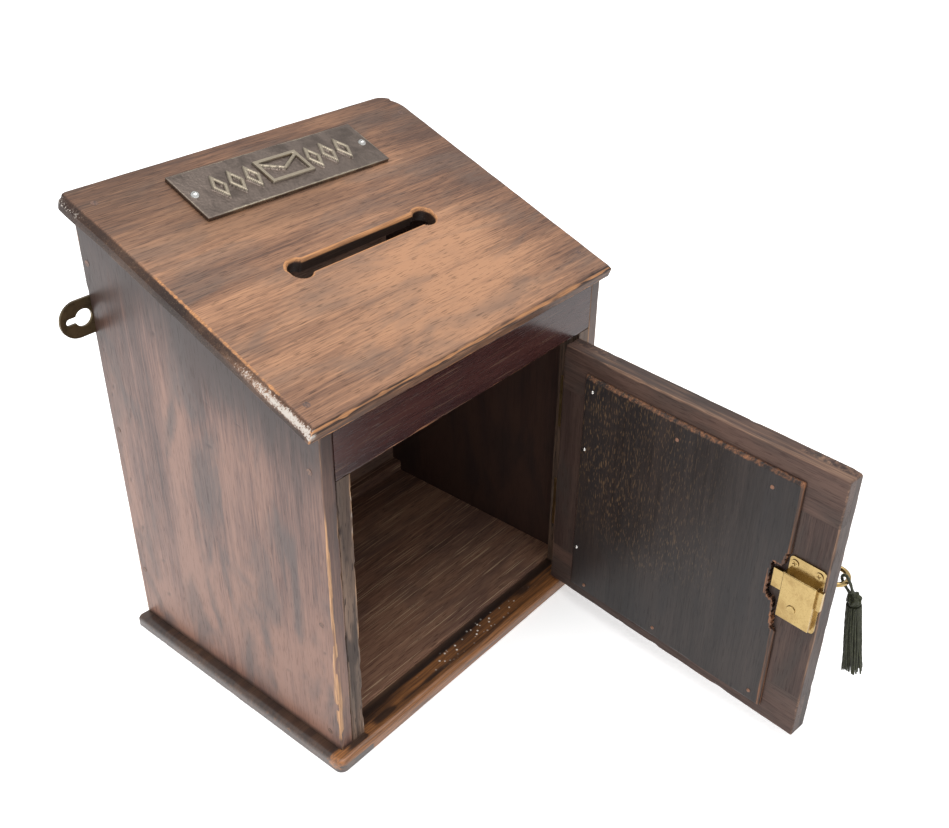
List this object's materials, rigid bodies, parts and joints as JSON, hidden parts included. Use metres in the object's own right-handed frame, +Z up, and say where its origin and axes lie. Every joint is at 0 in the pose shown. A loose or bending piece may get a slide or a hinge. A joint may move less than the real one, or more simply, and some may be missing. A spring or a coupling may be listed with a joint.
{
  "type": "letter box",
  "caption": "Dark wooden desk letter box with a sloping slotted lid, a bronze name plate and a framed front door whose brass lock holds a key with a tassel.",
  "frame": {"origin": "middle of the base board's underside across the box, halfway between the carcase's front and its back", "axes": "+X to the right seen from the front, +Y to the back, +Z up"},
  "size_m": [0.27, 0.3875, 0.2946],
  "materials": {
    "lid_wood": "dark stained and waxed, worn orange on the bevels",
    "carcase_wood": "dark stained and waxed, worn arrises",
    "base_wood": "dark stained, edge worn to orange",
    "inner_wood": "dark stain, matt",
    "door_wood": "dark maroon stain, greyed on the edges",
    "panel_wood": "near black stain with fine golden pores",
    "bronze": "dark bronze patina, rubbed edges",
    "hinge_brass": "dull brass",
    "lock_brass": "bright brass",
    "steel": "bright steel",
    "nail_iron": "dark iron",
    "cord": "dark olive twisted rayon"
  },
  "bodies": {
    "box": {"base_board": "base_wood", "left_side": "carcase_wood", "right_side": "carcase_wood", "back_board": "inner_wood", "top_lid": "lid_wood", "front_top_rail": "carcase_wood", "front_left_stile": "carcase_wood", "front_right_stile": "carcase_wood", "floor_board": "inner_wood", "back_batten": "inner_wood", "carcase_nails": "nail_iron", "lid_nails": "nail_iron", "base_screws": "nail_iron", "name_plate": "bronze", "name_plate_screws": "bronze", "hanging_plate_left": "bronze", "hanging_plate_right": "bronze", "hanging_plate_screws": "bronze", "upper_hinge_frame_leaf": "hinge_brass", "lower_hinge_frame_leaf": "hinge_brass", "upper_hinge_pin": "hinge_brass", "lower_hinge_pin": "hinge_brass", "hinge_screws_frame": "hinge_brass"},
    "door": {"door_top_rail": "door_wood", "door_bottom_rail": "door_wood", "door_hinge_stile": "door_wood", "door_lock_stile": "door_wood", "door_panel": "panel_wood", "panel_pins": "steel", "upper_hinge_door_leaf": "hinge_brass", "lower_hinge_door_leaf": "hinge_brass", "hinge_screws_door": "hinge_brass", "lock_back_plate": "lock_brass", "lock_case": "lock_brass", "lock_spring": "steel", "lock_drill_pin": "lock_brass", "lock_screws": "lock_brass", "keyhole_escutcheon": "lock_brass"},
    "bolt": {"lock_bolt": "lock_brass"},
    "key": {"key": "lock_brass"},
    "loop": {"tassel_loop": "cord"},
    "tassel": {"tassel_knot": "cord", "tassel_skirt": "cord"}
  },
  "joints": [
    {"name": "door_swing", "type": "hinge", "parent": "box", "child": "door", "pos_m": [0.0964, -0.0908, 0.0987], "axis": [0, 0, 1], "range_deg": [-82.9, 92.1]},
    {"name": "key_turn", "type": "hinge", "parent": "door", "child": "key", "pos_m": [0.07367, -0.26684, 0.1], "axis": [0.9923, -0.1236, 0], "range_deg": [0, 180]},
    {"name": "bolt_throw", "type": "slide", "parent": "door", "child": "bolt", "axis": [-0.1236, -0.9923, 0], "range_m": [0, 0.007]},
    {"name": "loop_turn", "type": "hinge", "parent": "key", "child": "loop", "pos_m": [0.09627, -0.27792, 0.1], "axis": [0.9923, -0.1236, 0], "range_deg": [-180, 0]},
    {"name": "tassel_swing", "type": "hinge", "parent": "loop", "child": "tassel", "pos_m": [0.10066, -0.283, 0.08767], "axis": [0.9923, -0.1236, 0], "range_deg": [-30, 30]}
  ],
  "couplings": [
    {"joint": "key_turn", "follows": "bolt_throw", "rad_per_m": 448.8},
    {"joint": "loop_turn", "follows": "bolt_throw", "rad_per_m": -448.8}
  ]
}
